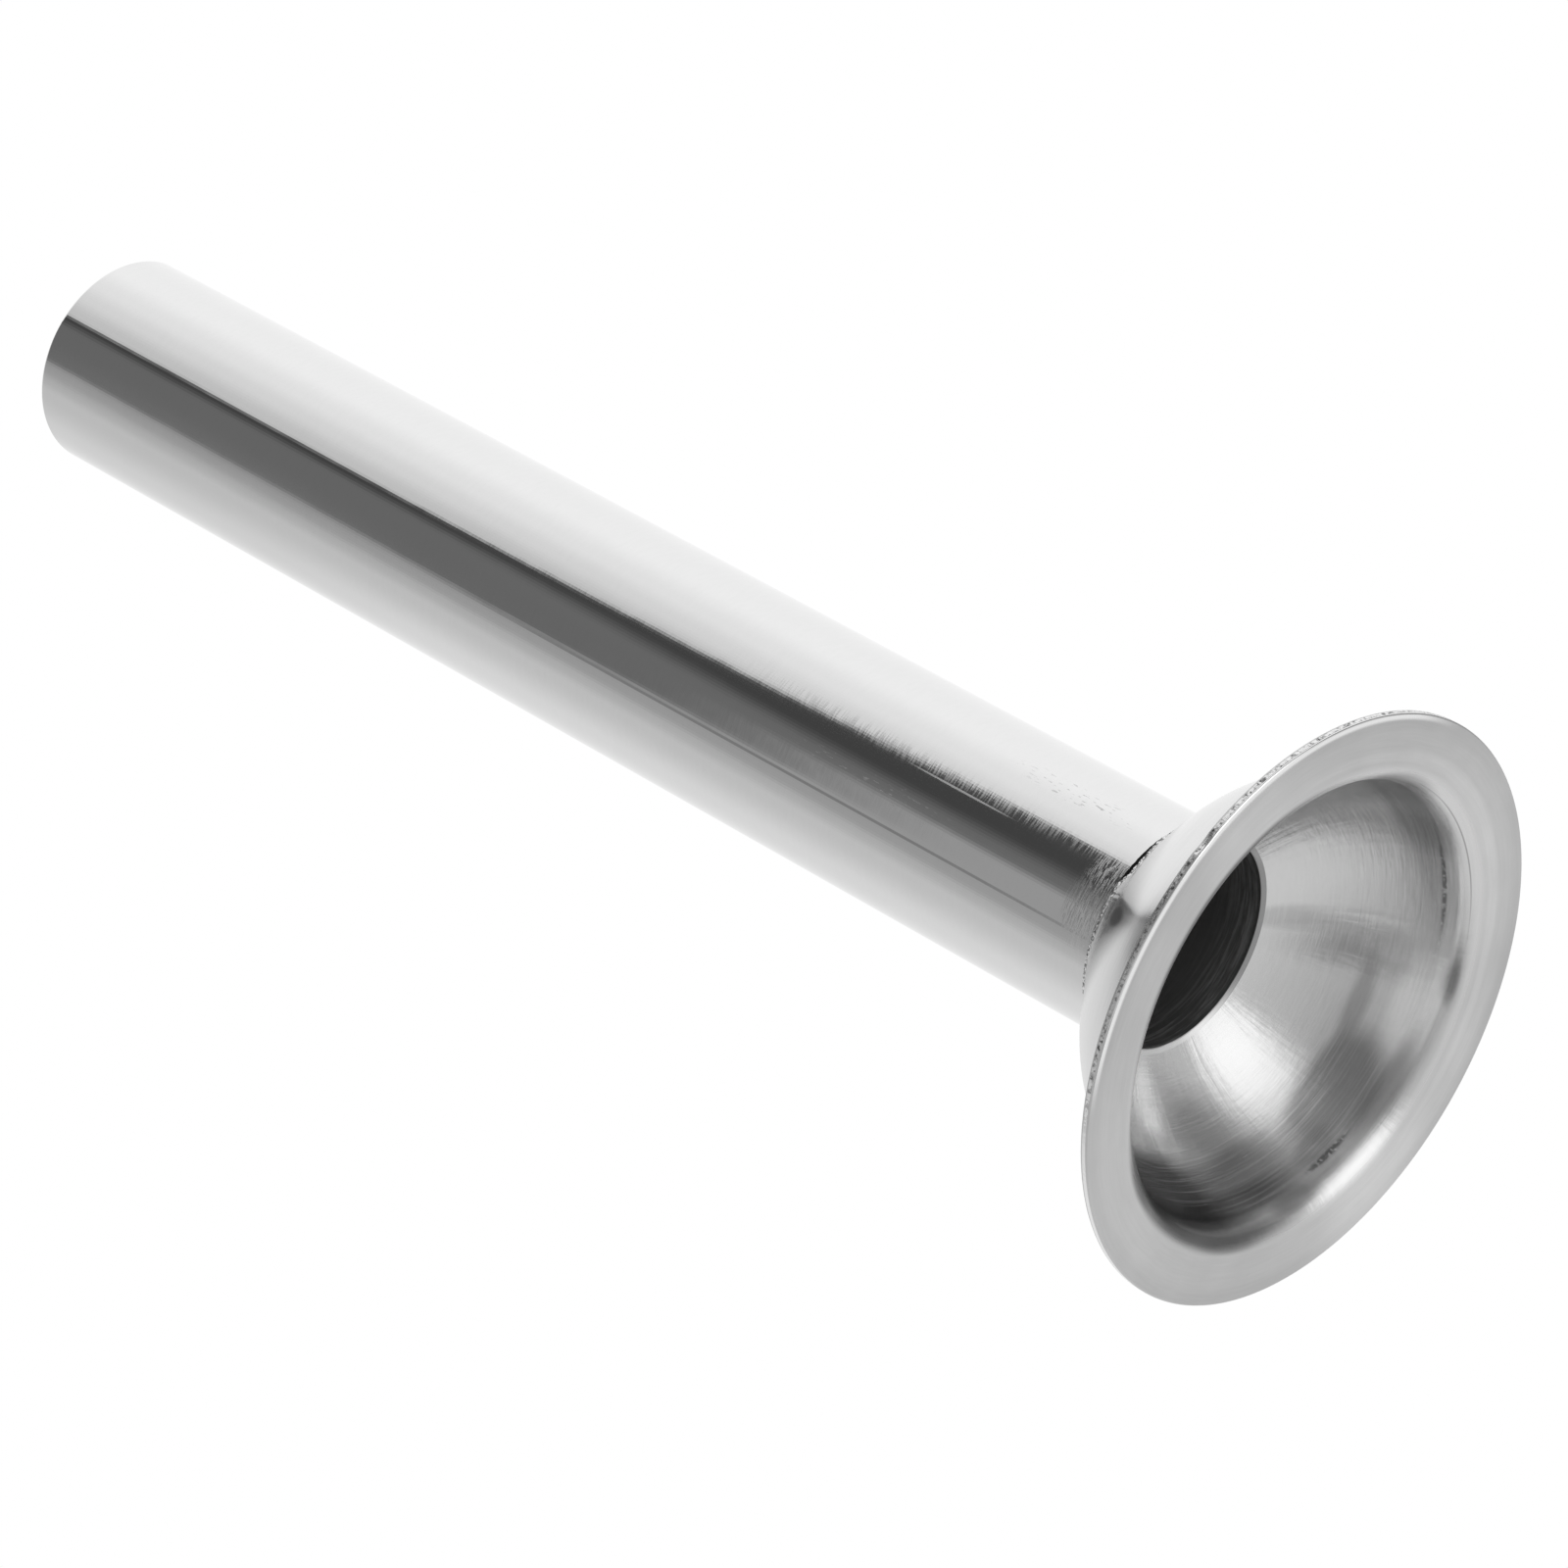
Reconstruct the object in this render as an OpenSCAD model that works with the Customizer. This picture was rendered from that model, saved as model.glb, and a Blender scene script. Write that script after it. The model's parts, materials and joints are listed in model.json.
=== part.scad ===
// Sausage stuffing tube: a pressed steel cup with a flat clamping flange, welded to a thin-walled tube.
// It stands on its flange face, with the tube pointing up along +Z. Sizes are in millimetres.

/* [Flange] */
// Outside diameter of the flange
flange_d = 55; // [52:0.5:70]
// Thickness of the sheet that the flange and cup are pressed from
sheet_t = 0.8; // [0.5:0.05:1.2]
// Radius on the two arrises of the flange's cut edge
rim_round = 0.2; // [0.05:0.05:0.24]

/* [Cup] */
// Diameter at which the flat of the flange ends and the bend begins
mouth_d = 46; // [42:0.5:49]
// Radius of the bend from flange to bowl, on the mouth side
bend_r = 2.2; // [1.4:0.1:3.5]
// Inside radius of the bowl's curve
bowl_r = 18.4; // [17:0.1:30]
// Depth of the bowl below the flange face, at the edge of the bore
cup_depth = 14.7; // [12:0.1:18]

/* [Tube] */
// Outside diameter of the tube
tube_d = 21; // [12:0.5:26]
// Thickness of the tube's wall
tube_wall = 0.5; // [0.45:0.05:1.5]
// Overall length, from the flange face to the tube's open end
total_length = 156.3; // [60:0.1:250]
// Radius on the outside edge of the open end, where a casing is pulled on
end_round = 0.35; // [0.1:0.05:0.4]

/* [Weld] */
// Leg of the weld bead, up the tube and out along the cup
weld_leg = 1.2; // [0.6:0.1:2]
// Depth to which the weld is fused into the tube's wall
weld_root = 0.15; // [0.05:0.05:0.3]

/* [Hidden] */
$fn = 180;
// Degrees between the points of a rounded outline
arc_step = 5;

flange_r = flange_d / 2;
tube_r = tube_d / 2;
bore_r = tube_r - tube_wall;
bowl_back_r = bowl_r + sheet_t;

// Every outline below has the radius along X and the height above the flange face along Y.
bend_c = [mouth_d / 2, bend_r];
bore_edge = [bore_r, cup_depth];

// The bowl's circle touches the bend's circle and passes through the edge of the bore.
// Its centre is the crossing, nearest the axis, of two circles about bend_c and bore_edge.
reach = norm(bore_edge - bend_c);
toward = (bore_edge - bend_c) / reach;
along = ((bend_r + bowl_r) ^ 2 - bowl_r ^ 2 + reach ^ 2) / (2 * reach);
across = sqrt((bend_r + bowl_r) ^ 2 - along ^ 2);
bowl_c = bend_c + along * toward + across * [-toward.y, toward.x];

// Angle, above the horizontal, of the line of centres along which bowl and bend meet
meet_angle = atan2(bend_c.y - bowl_c.y, bend_c.x - bowl_c.x);

// Angle about the bowl's centre at which a circle of radius r about it comes to distance x from the axis
function bowl_angle(r, x) = acos((x - bowl_c.x) / r);

// Point on the bowl's front or back face, a circle of radius r, at distance x from the axis
function bowl_point(r, x) = bowl_c + r * heading(bowl_angle(r, x));

function heading(a) = [cos(a), sin(a)];

// Points along an arc about c, from angle a0 to a1
function arc(c, r, a0, a1) =
    let (n = ceil(abs(a1 - a0) / arc_step))
    [for (i = [0 : n]) c + r * heading(a0 + (a1 - a0) * i / n)];

function after_first(points) = [for (i = [1 : len(points) - 1]) points[i]];

// Section of the sheet: round the rim, in along the back to the hole, and out again along the front
cup_outline = concat(
    arc([flange_r - rim_round, rim_round], rim_round, -90, 0),
    arc([flange_r - rim_round, sheet_t - rim_round], rim_round, 0, 90),
    arc(bend_c, bend_r - sheet_t, 270, 180 + meet_angle),
    after_first(arc(bowl_c, bowl_back_r, meet_angle, bowl_angle(bowl_back_r, tube_r))),
    arc(bowl_c, bowl_r, bowl_angle(bowl_r, tube_r), meet_angle),
    after_first(arc(bend_c, bend_r, 180 + meet_angle, 270))
);

// Corners of the weld: its heel in the corner of cup and tube, a toe along each, and its root in the tube's wall
weld_heel = bowl_point(bowl_back_r, tube_r);
cup_toe = bowl_point(bowl_back_r, tube_r + weld_leg);
tube_toe = weld_heel + [0, weld_leg];
root_tip = weld_heel + [-weld_root, weld_leg / 2];

// Section of the tube's wall, its foot flush with the inside of the bowl, with a groove where the weld is fused in
tube_outline = concat(
    [bore_edge, bowl_point(bowl_r, tube_r), weld_heel, root_tip, tube_toe],
    arc([tube_r - end_round, total_length - end_round], end_round, 0, 90),
    [[bore_r, total_length]]
);

// Thin straight tube, open at both ends
module tube() {
    color("silver")
        rotate_extrude()
            polygon(tube_outline);
}

// Flat flange, rounded bend and bowl pressed from one sheet, with a hole that the tube fits
module flanged_cup() {
    color("lightgray")
        rotate_extrude()
            polygon(cup_outline);
}

// Weld bead in the corner between the back of the cup and the tube. Its section is drawn down into the sheet,
// and what lies in the sheet is cut away.
module weld_bead() {
    in_sheet = bowl_point(bowl_r + sheet_t / 2, tube_r);
    color("darkgray")
        rotate_extrude()
            difference() {
                polygon([cup_toe, tube_toe, root_tip, weld_heel, in_sheet]);
                polygon(cup_outline);
            }
}

tube();
flanged_cup();
weld_bead();
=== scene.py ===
"""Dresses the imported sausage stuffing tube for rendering: polished tube, brushed cup and their weld."""

import json
import math

import bmesh
import bpy
from bpy.props import FloatProperty, FloatVectorProperty, IntProperty, PointerProperty
from mathutils import Matrix, Vector, noise


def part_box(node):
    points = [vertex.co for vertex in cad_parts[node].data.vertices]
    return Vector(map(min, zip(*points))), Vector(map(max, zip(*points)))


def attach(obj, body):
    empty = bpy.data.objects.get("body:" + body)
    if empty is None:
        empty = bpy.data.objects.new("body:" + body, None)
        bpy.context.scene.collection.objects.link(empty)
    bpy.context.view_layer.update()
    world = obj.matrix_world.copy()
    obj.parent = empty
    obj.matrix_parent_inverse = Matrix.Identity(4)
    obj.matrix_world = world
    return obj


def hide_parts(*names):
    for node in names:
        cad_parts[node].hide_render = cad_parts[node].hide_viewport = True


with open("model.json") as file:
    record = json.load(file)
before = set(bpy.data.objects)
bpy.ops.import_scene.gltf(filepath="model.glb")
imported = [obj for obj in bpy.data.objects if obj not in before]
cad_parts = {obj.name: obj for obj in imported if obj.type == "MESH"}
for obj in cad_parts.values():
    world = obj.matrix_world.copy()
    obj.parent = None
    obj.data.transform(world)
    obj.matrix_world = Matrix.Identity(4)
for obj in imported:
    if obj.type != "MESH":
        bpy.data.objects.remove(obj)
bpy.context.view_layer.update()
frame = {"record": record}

bl_info = {
    "name": "Sausage Stuffing Tube",
    "version": (1, 0, 0),
    "blender": (4, 5, 0),
    "location": "View3D > Sidebar > Stuffing Tube",
    "description": "Builds the polished tube, the brushed cup, the weld and their studio",
    "category": "Object",
}

MM = 0.001
# Place of the nick in the rim, in degrees from -Y towards +X
NICK_ANGLE = 17.0
TUBE_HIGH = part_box("tube")[1]
CUP_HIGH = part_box("flanged_cup")[1]
BORE_RADIUS = next(m for m in frame["record"]["mounts"] if m["name"] == "tube_bore")["dims"]["r_mm"] * MM


def metres(name, description, default, least):
    """A property for a length in metres."""
    return FloatProperty(name=name, description=description, default=default, min=least, unit="LENGTH")


def grey(name, description, level):
    """A property for a colour, grey at first."""
    return FloatVectorProperty(
        name=name, description=description, default=(level, level, level), min=0.0, max=1.0, subtype="COLOR")


class TubeSettings(bpy.types.PropertyGroup):
    """Sizes and colour of the polished tube"""

    outer_radius: metres("Outer Radius", "Outside radius of the tube", default=TUBE_HIGH.x, least=0.004)
    bore_radius: metres("Bore Radius", "Inside radius of the tube", default=BORE_RADIUS, least=0.003)
    length: metres(
        "End Height", "Height of the open end above the flange face", default=TUBE_HIGH.z, least=0.03)
    end_round: metres(
        "End Rounding", "Radius on the outer edge of the open end", default=0.35 * MM, least=0.0)
    segments: IntProperty(
        name="Segments", description="Faces round the tube", default=256, min=24)
    colour: grey("Steel Colour", "Colour of the polished steel", level=0.80)


class CupSettings(bpy.types.PropertyGroup):
    """Sizes and colour of the pressed cup with its flange"""

    flange_radius: metres("Flange Radius", "Outside radius of the flange", default=CUP_HIGH.x, least=0.01)
    sheet: metres("Sheet Thickness", "Thickness of the pressed sheet", default=0.8 * MM, least=0.0002)
    mouth_radius: metres(
        "Mouth Radius", "Radius at which the flat flange ends and the bend begins",
        default=23.0 * MM, least=0.01)
    bend_radius: metres(
        "Bend Radius", "Radius of the bend on the mouth side", default=2.2 * MM, least=0.0005)
    bowl_radius: metres("Bowl Radius", "Inside radius of the bowl's curve", default=18.4 * MM, least=0.01)
    depth: metres("Cup Depth", "Depth of the bowl at the edge of the bore", default=14.7 * MM, least=0.005)
    rim_round: metres("Rim Rounding", "Radius on the arrises of the cut edge", default=0.16 * MM, least=0.0)
    edge_burr: metres(
        "Edge Burr", "Height of the tears left on the cut edge", default=0.025 * MM, least=0.0)
    nick_depth: metres("Nick Depth", "Depth of the nick in the cut edge", default=0.3 * MM, least=0.0)
    segments: IntProperty(
        name="Segments", description="Faces round the cup", default=600, min=24)
    colour: grey("Steel Colour", "Colour of the brushed steel", level=0.76)


class WeldSettings(bpy.types.PropertyGroup):
    """Sizes and colour of the weld that joins tube and cup"""

    leg: metres(
        "Weld Leg", "Reach of the weld up the tube and out along the cup", default=1.2 * MM, least=0.0003)
    gap: metres(
        "Open Gap", "Widest gap left open between the weld's lip and the tube",
        default=0.34 * MM, least=0.0)
    unevenness: metres("Unevenness", "Height of the weld's lumps", default=0.08 * MM, least=0.0)
    segments: IntProperty(
        name="Segments", description="Faces round the weld", default=720, min=48)
    colour: grey("Weld Colour", "Colour of the weld metal", level=0.58)


class StageSettings(bpy.types.PropertyGroup):
    """Floor and light of the studio"""

    floor_radius: metres(
        "Floor Radius", "Radius at which the pale floor has faded into the backdrop",
        default=0.5, least=0.05)
    floor_colour: grey("Floor Colour", "Colour of the floor", level=0.92)
    sun_strength: FloatProperty(
        name="Sun Strength", description="Strength of the lamp that casts the shadow on the floor",
        default=1.0, min=0.0)


def link(tree, output, target):
    """Joins an output socket to an input socket."""
    tree.links.new(output, target)


def add_node(tree, kind, inputs=None, **settings):
    """Adds a node, sets its properties, and sets or links the inputs that are given by name or number."""
    node = tree.nodes.new(kind)
    for key, value in settings.items():
        setattr(node, key, value)
    for key, value in (inputs or {}).items():
        if isinstance(value, bpy.types.NodeSocket):
            link(tree, value, node.inputs[key])
        else:
            node.inputs[key].default_value = value
    return node


def math_node(tree, operation, a, b=None, c=None):
    """Adds a Math node and returns its output."""
    given = {i: v for i, v in enumerate((a, b, c)) if v is not None}
    return add_node(tree, "ShaderNodeMath", given, operation=operation).outputs[0]


def times(tree, a, b):
    """Multiplies two values."""
    return math_node(tree, "MULTIPLY", a, b)


def one_minus(tree, value):
    """Takes a share away from 1."""
    return math_node(tree, "SUBTRACT", 1.0, value)


def smooth_range(tree, value, low, high):
    """Maps a value smoothly from 0 at low to 1 at high."""
    given = {"Value": value, "From Min": low, "From Max": high}
    return add_node(tree, "ShaderNodeMapRange", given, interpolation_type="SMOOTHSTEP").outputs["Result"]


def blend_values(tree, factor, a, b):
    """Mixes two values by a factor."""
    return add_node(tree, "ShaderNodeMix", {0: factor, 2: a, 3: b}, data_type="FLOAT").outputs[0]


def blend_colours(tree, factor, a, b):
    """Mixes two colours by a factor."""
    return add_node(tree, "ShaderNodeMix", {0: factor, 6: a, 7: b}, data_type="RGBA").outputs[2]


def grain_noise(tree, vector, scale, detail, roughness=0.5):
    """Adds a noise texture and returns its value."""
    return add_node(tree, "ShaderNodeTexNoise", {
        "Vector": vector, "Scale": scale, "Detail": detail, "Roughness": roughness}).outputs["Fac"]


def new_group(name, kind, sockets):
    """Makes a node group with the given sockets and returns it with its input and output nodes."""
    group = bpy.data.node_groups.new(name, kind)
    for label, direction, socket_type, default in sockets:
        socket = group.interface.new_socket(label, in_out=direction, socket_type="NodeSocket" + socket_type)
        if default is not None:
            socket.default_value = default
    return group, group.nodes.new("NodeGroupInput"), group.nodes.new("NodeGroupOutput")


def place_group(tree, group, inputs=None):
    """Adds a node group to a shader tree and sets or links its inputs."""
    return add_node(tree, "ShaderNodeGroup", inputs, node_tree=group)


# Profiles are lists of (radius, height, torn, back) in metres. Torn is the share of the burr that a point
# takes, and back is 1 on the polished back of the cup.


def arc(centre, radius, start, end, steps, torn=0.0, back=0.0):
    """Points along an arc of a profile, with angles in degrees."""
    points = []
    for i in range(steps + 1):
        angle = math.radians(start + (end - start) * i / steps)
        x = centre[0] + radius * math.cos(angle)
        y = centre[1] + radius * math.sin(angle)
        points.append((x, y, torn, back))
    return points


def straight(start, end, steps, torn=0.0, back=0.0):
    """Points along a straight stretch of a profile, without its two ends."""
    points = []
    for i in range(1, steps):
        t = i / steps
        x = start[0] + (end[0] - start[0]) * t
        y = start[1] + (end[1] - start[1]) * t
        points.append((x, y, torn, back))
    return points


class CupSection:
    """The cup's curves: the bowl's circle touches the bend's circle and passes through the bore's edge."""

    def __init__(self, cup, bore_radius):
        self.bend = Vector((cup.mouth_radius, cup.bend_radius))
        edge = Vector((bore_radius, cup.depth))
        reach = (edge - self.bend).length
        toward = (edge - self.bend) / reach
        sum_radius = cup.bend_radius + cup.bowl_radius
        along = (sum_radius ** 2 - cup.bowl_radius ** 2 + reach ** 2) / (2 * reach)
        across = math.sqrt(sum_radius ** 2 - along ** 2)
        self.bowl = self.bend + along * toward + across * Vector((-toward.y, toward.x))
        self.meet = math.degrees(math.atan2(self.bend.y - self.bowl.y, self.bend.x - self.bowl.x))

    def bowl_angle(self, radius, x):
        """Angle about the bowl's centre at which a circle of that radius is x from the axis."""
        return math.degrees(math.acos((x - self.bowl.x) / radius))

    def bowl_height(self, radius, x):
        """Height of that circle above the flange face at x from the axis."""
        return self.bowl.y + math.sqrt(radius ** 2 - (x - self.bowl.x) ** 2)


# Chamfer on the inner edge of the tube's open end
INNER_CHAMFER = 0.08 * MM


def tube_profile(tube, cup):
    """Closed section of the tube's wall, from its foot in the bowl to its rounded open end."""
    section = CupSection(cup, tube.bore_radius)
    foot = (tube.outer_radius, section.bowl_height(cup.bowl_radius, tube.outer_radius))
    corner = (tube.outer_radius - tube.end_round, tube.length - tube.end_round)
    wall_top = (tube.outer_radius, corner[1])
    inner_foot = (tube.bore_radius, cup.depth)
    inner_top = (tube.bore_radius, tube.length - INNER_CHAMFER)
    points = [(*foot, 0.0, 0.0)]
    points += straight(foot, wall_top, steps=48)
    points += arc(corner, tube.end_round, 0, 90, steps=8)
    points += [(tube.bore_radius + INNER_CHAMFER, tube.length, 0.0, 0.0), (*inner_top, 0.0, 0.0)]
    points += straight(inner_top, inner_foot, steps=32)
    points += [(*inner_foot, 0.0, 0.0)]
    return points


def cup_profile(cup, tube):
    """Closed section of the cup's sheet: round the rim, in along the back, and out along the front."""
    section = CupSection(cup, tube.bore_radius)
    front = cup.bowl_radius
    back = cup.bowl_radius + cup.sheet
    front_end = section.bowl_angle(front, tube.outer_radius)
    back_end = section.bowl_angle(back, tube.outer_radius)
    rim = cup.flange_radius - cup.rim_round
    top = cup.sheet - cup.rim_round
    points = arc((rim, cup.rim_round), cup.rim_round, -90, 0, steps=5, torn=0.2)
    points += straight((cup.flange_radius, cup.rim_round), (cup.flange_radius, top), steps=5, torn=1.0)
    points += arc((rim, top), cup.rim_round, 0, 90, steps=5, torn=0.45)
    points += straight((rim, cup.sheet), (cup.mouth_radius, cup.sheet), steps=5, back=1.0)
    points += arc(section.bend, cup.bend_radius - cup.sheet, 270, 180 + section.meet, steps=12, back=1.0)
    points += arc(section.bowl, back, section.meet, back_end, steps=48, back=1.0)[1:]
    points += arc(section.bowl, front, front_end, section.meet, steps=44)
    points += arc(section.bend, cup.bend_radius, 180 + section.meet, 270, steps=20)[1:]
    points += straight((cup.mouth_radius, 0.0), (rim, 0.0), steps=6)
    return points


# Tears of the cut edge per metre of its height, and the distance at which points are merged
TEARS_PER_METRE = 2500.0
MERGE_DISTANCE = 1e-6


def revolve_tree():
    """Geometry nodes that turn a closed profile about Z, tear it where it says so and nick its rim."""
    tree, source, sink = new_group("revolve_profile", "GeometryNodeTree", (
        ("Profile", "INPUT", "Geometry", None),
        ("Segments", "INPUT", "Int", 256),
        ("Burr", "INPUT", "Float", 0.0),
        ("Burr Grain", "INPUT", "Float", 75.0),
        ("Nick Angle", "INPUT", "Float", 0.0),
        ("Nick Width", "INPUT", "Float", 0.05),
        ("Nick Depth", "INPUT", "Float", 0.0),
        ("Seed", "INPUT", "Float", 0.0),
        ("Sharp Angle", "INPUT", "Float", 0.6),
        ("Material", "INPUT", "Material", None),
        ("Mesh", "OUTPUT", "Geometry", None)))
    tree.is_modifier = True
    profile = source.outputs["Profile"]
    size = add_node(tree, "GeometryNodeAttributeDomainSize", {"Geometry": profile}, component="MESH")
    count = size.outputs["Point Count"]
    columns = math_node(tree, "ADD", source.outputs["Segments"], 1.0)
    rows = math_node(tree, "ADD", count, 1.0)
    grid = add_node(tree, "GeometryNodeMeshGrid", {
        "Size X": 1.0, "Size Y": 1.0, "Vertices X": columns, "Vertices Y": rows})
    place = add_node(tree, "GeometryNodeInputPosition").outputs[0]
    split = add_node(tree, "ShaderNodeSeparateXYZ", {0: place})
    turn = math_node(tree, "ADD", split.outputs["X"], 0.5)
    angle = times(tree, turn, math.tau)
    row = times(tree, math_node(tree, "ADD", split.outputs["Y"], 0.5), count)
    whole_row = math_node(tree, "ROUND", row)
    index = add_node(tree, "FunctionNodeFloatToInt", {0: math_node(tree, "MODULO", whole_row, count)},
                     rounding_mode="ROUND").outputs[0]

    def sampled(value, kind):
        """The profile's own value at the grid's row."""
        given = {"Geometry": profile, "Value": value, "Index": index}
        return add_node(tree, "GeometryNodeSampleIndex", given, data_type=kind, domain="POINT").outputs[0]

    def kept(name):
        """A named value of the profile at the grid's row."""
        named = add_node(tree, "GeometryNodeInputNamedAttribute", {"Name": name}, data_type="FLOAT")
        return sampled(named.outputs[0], "FLOAT")

    torn = kept("torn")
    section = add_node(tree, "ShaderNodeSeparateXYZ", {0: sampled(place, "FLOAT_VECTOR")})
    cosine = math_node(tree, "COSINE", angle)
    sine = math_node(tree, "SINE", angle)
    aside = math_node(tree, "SUBTRACT", angle, source.outputs["Nick Angle"])
    aside = math_node(tree, "ABSOLUTE", math_node(tree, "WRAP", aside, math.pi, -math.pi))
    nick = add_node(tree, "ShaderNodeMapRange", {
        "Value": aside, "From Min": source.outputs["Nick Width"], "From Max": 0.0, "To Min": 0.0,
        "To Max": source.outputs["Nick Depth"]}, interpolation_type="SMOOTHSTEP").outputs["Result"]
    radius = math_node(tree, "SUBTRACT", section.outputs["X"], times(tree, nick, torn))
    x = times(tree, radius, cosine)
    y = times(tree, radius, sine)
    turned = add_node(tree, "ShaderNodeCombineXYZ", {"X": x, "Y": y, "Z": section.outputs["Z"]}).outputs[0]
    grain_x = times(tree, cosine, source.outputs["Burr Grain"])
    grain_y = times(tree, sine, source.outputs["Burr Grain"])
    grain_z = math_node(tree, "MULTIPLY_ADD", section.outputs["Z"], TEARS_PER_METRE, source.outputs["Seed"])
    grain = add_node(tree, "ShaderNodeCombineXYZ", {"X": grain_x, "Y": grain_y, "Z": grain_z}).outputs[0]
    tears = add_node(tree, "ShaderNodeTexNoise", {
        "Vector": grain, "Scale": 1.0, "Detail": 3.0, "Roughness": 0.65})
    swing = add_node(tree, "ShaderNodeVectorMath", {0: tears.outputs["Color"], 1: (-0.5, -0.5, -0.5)},
                     operation="ADD").outputs[0]
    height = times(tree, times(tree, torn, source.outputs["Burr"]), 2.0)
    burr = add_node(tree, "ShaderNodeVectorMath", {0: swing, "Scale": height}, operation="SCALE").outputs[0]
    torn_place = add_node(tree, "ShaderNodeVectorMath", {0: turned, 1: burr}, operation="ADD").outputs[0]
    mesh = add_node(tree, "GeometryNodeStoreNamedAttribute", {
        "Geometry": grid.outputs["Mesh"], "Name": "UVMap", "Value": grid.outputs["UV Map"]},
        data_type="FLOAT2", domain="CORNER").outputs[0]
    for name, value in (("torn", torn), ("back", kept("back"))):
        given = {"Geometry": mesh, "Name": name, "Value": value}
        mesh = add_node(tree, "GeometryNodeStoreNamedAttribute", given,
                        data_type="FLOAT", domain="POINT").outputs[0]
    moved = add_node(tree, "GeometryNodeSetPosition", {"Geometry": mesh, "Position": torn_place}).outputs[0]
    closed = add_node(tree, "GeometryNodeMergeByDistance", {
        "Geometry": moved, "Distance": MERGE_DISTANCE}).outputs[0]
    bend = add_node(tree, "GeometryNodeInputMeshEdgeAngle").outputs["Unsigned Angle"]
    gentle = add_node(tree, "FunctionNodeCompare", {0: bend, 1: source.outputs["Sharp Angle"]},
                      data_type="FLOAT", operation="LESS_THAN").outputs[0]
    shaded = add_node(tree, "GeometryNodeSetShadeSmooth", {"Geometry": closed, "Shade Smooth": gentle},
                      domain="EDGE").outputs[0]
    real = add_node(tree, "GeometryNodeRealizeInstances", {0: shaded}).outputs[0]
    painted = add_node(tree, "GeometryNodeSetMaterial", {
        "Geometry": real, "Material": source.outputs["Material"]})
    link(tree, painted.outputs[0], sink.inputs["Mesh"])
    return tree


def revolve(name, profile, material, **sizes):
    """Makes a piece by turning a closed profile about Z with the geometry nodes, baked to a plain mesh."""
    wire = bpy.data.meshes.new(name)
    count = len(profile)
    edges = [(i, (i + 1) % count) for i in range(count)]
    wire.from_pydata([(point[0], 0.0, point[1]) for point in profile], edges, [])
    for label, column in (("torn", 2), ("back", 3)):
        values = wire.attributes.new(label, "FLOAT", "POINT")
        values.data.foreach_set("value", [point[column] for point in profile])
    piece = bpy.data.objects.new(name, wire)
    bpy.context.scene.collection.objects.link(piece)
    tree = bpy.data.node_groups.get("revolve_profile") or revolve_tree()
    modifier = piece.modifiers.new("Revolve", "NODES")
    modifier.node_group = tree
    inputs = {"Material": material}
    inputs.update({label.replace("_", " ").title(): value for label, value in sizes.items()})
    for item in tree.interface.items_tree:
        if item.in_out == "INPUT" and item.name in inputs:
            modifier[item.identifier] = inputs[item.name]
    bpy.context.view_layer.update()
    solid = piece.evaluated_get(bpy.context.evaluated_depsgraph_get())
    mesh = bpy.data.meshes.new_from_object(solid)
    piece.modifiers.clear()
    piece.data = mesh
    bpy.data.meshes.remove(wire)
    mesh.name = name
    face_outwards(mesh)
    return piece


def face_outwards(mesh):
    """Turns the faces of a closed mesh outwards."""
    shell = bmesh.new()
    shell.from_mesh(mesh)
    bmesh.ops.recalc_face_normals(shell, faces=shell.faces)
    shell.to_mesh(mesh)
    shell.free()


def soft_patch_group():
    """Group with the mask of one soft patch, placed by an angle in degrees and a height."""
    group = bpy.data.node_groups.get("soft_patch")
    if group:
        return group
    group, source, sink = new_group("soft_patch", "ShaderNodeTree", (
        ("Angle", "INPUT", "Float", 0.0),
        ("Height", "INPUT", "Float", 0.0),
        ("Centre Angle", "INPUT", "Float", 0.0),
        ("Centre Height", "INPUT", "Float", 0.0),
        ("Half Angle", "INPUT", "Float", 20.0),
        ("Half Height", "INPUT", "Float", 20.0),
        ("Softness", "INPUT", "Float", 0.3),
        ("Squareness", "INPUT", "Float", 2.0),
        ("Mask", "OUTPUT", "Float", None)))
    aside = math_node(group, "SUBTRACT", source.outputs["Angle"], source.outputs["Centre Angle"])
    aside = math_node(group, "ABSOLUTE", math_node(group, "WRAP", aside, 180.0, -180.0))
    above = math_node(group, "SUBTRACT", source.outputs["Height"], source.outputs["Centre Height"])
    above = math_node(group, "ABSOLUTE", above)
    u = math_node(group, "DIVIDE", aside, source.outputs["Half Angle"])
    v = math_node(group, "DIVIDE", above, source.outputs["Half Height"])
    power = source.outputs["Squareness"]
    total = math_node(group, "ADD", math_node(group, "POWER", u, power), math_node(group, "POWER", v, power))
    distance = math_node(group, "POWER", total, math_node(group, "DIVIDE", 1.0, power))
    outer = math_node(group, "ADD", 1.0, source.outputs["Softness"])
    inner = one_minus(group, source.outputs["Softness"])
    link(group, smooth_range(group, distance, outer, inner), sink.inputs["Mask"])
    return group


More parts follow.
